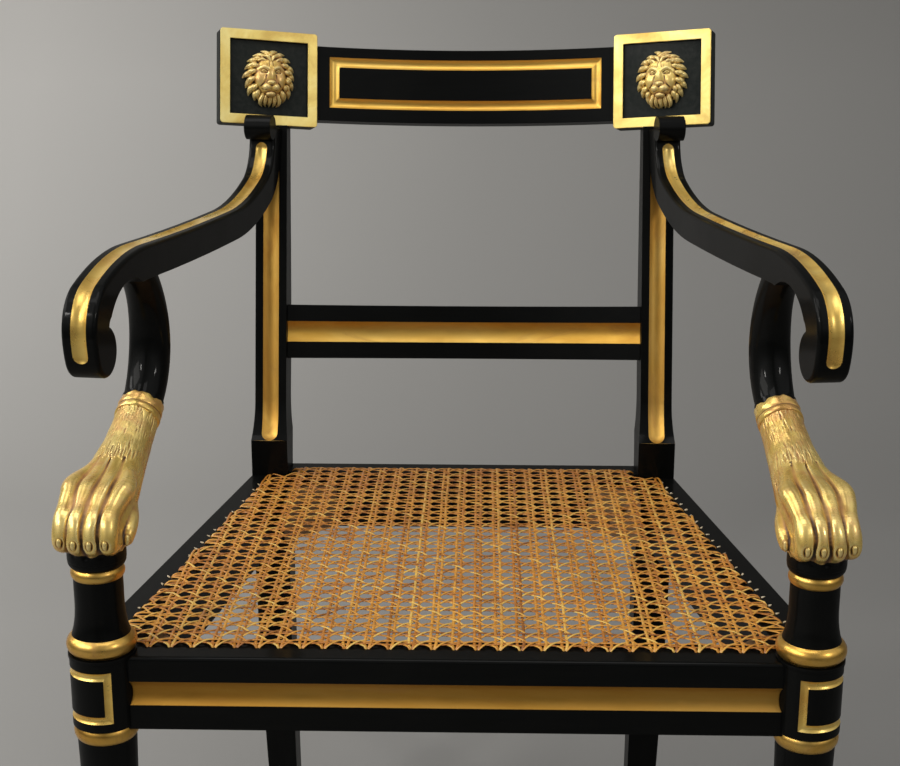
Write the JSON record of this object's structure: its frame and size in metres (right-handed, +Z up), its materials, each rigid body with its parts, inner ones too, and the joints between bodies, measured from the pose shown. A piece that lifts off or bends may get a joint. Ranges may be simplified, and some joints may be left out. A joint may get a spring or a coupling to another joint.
{
  "type": "open armchair",
  "caption": "Open armchair with a caned seat, turned front legs, sabre back legs, scrolled arms on paw supports and a bowed back with square end tablets, ebonised with gilt details.",
  "frame": {"origin": "on the floor, below the centre of the chair's box", "axes": "+Z up, front of the chair towards -Y, +X towards the right arm as seen from the front"},
  "size_m": [0.5706, 0.587, 0.8606],
  "materials": {
    "ebonised_wood": "satin black stain and polish",
    "gilt_wood": "worn water gilding over red bole",
    "cane": "aged woven cane",
    "bare_wood": "unfinished",
    "steel": "dull"
  },
  "bodies": {
    "root": {"front_leg_right": "ebonised_wood", "front_leg_left": "ebonised_wood", "front_seat_rail": "ebonised_wood", "side_seat_rail_right": "ebonised_wood", "side_seat_rail_left": "ebonised_wood", "back_seat_rail": "ebonised_wood", "mid_rail": "ebonised_wood", "tablet_dowels": "bare_wood", "paw_dowels": "bare_wood", "stem_dowels": "bare_wood", "arm_screws": "steel", "screw_plugs": "ebonised_wood", "corner_screws": "steel", "tablet_right": "ebonised_wood", "tablet_left": "ebonised_wood", "tablet_border_right": "gilt_wood", "tablet_border_left": "gilt_wood", "lion_mask_right": "gilt_wood", "lion_mask_left": "gilt_wood", "crest_rail": "ebonised_wood", "back_leg_right": "ebonised_wood", "back_leg_left": "ebonised_wood", "arm_right": "ebonised_wood", "arm_left": "ebonised_wood", "arm_stem_right": "ebonised_wood", "arm_stem_left": "ebonised_wood", "paw_right": "gilt_wood", "paw_left": "gilt_wood", "cane_seat": "cane", "corner_block_front_right": "bare_wood", "corner_block_front_left": "bare_wood", "corner_block_back_right": "bare_wood", "corner_block_back_left": "bare_wood"}
  },
  "joints": []
}
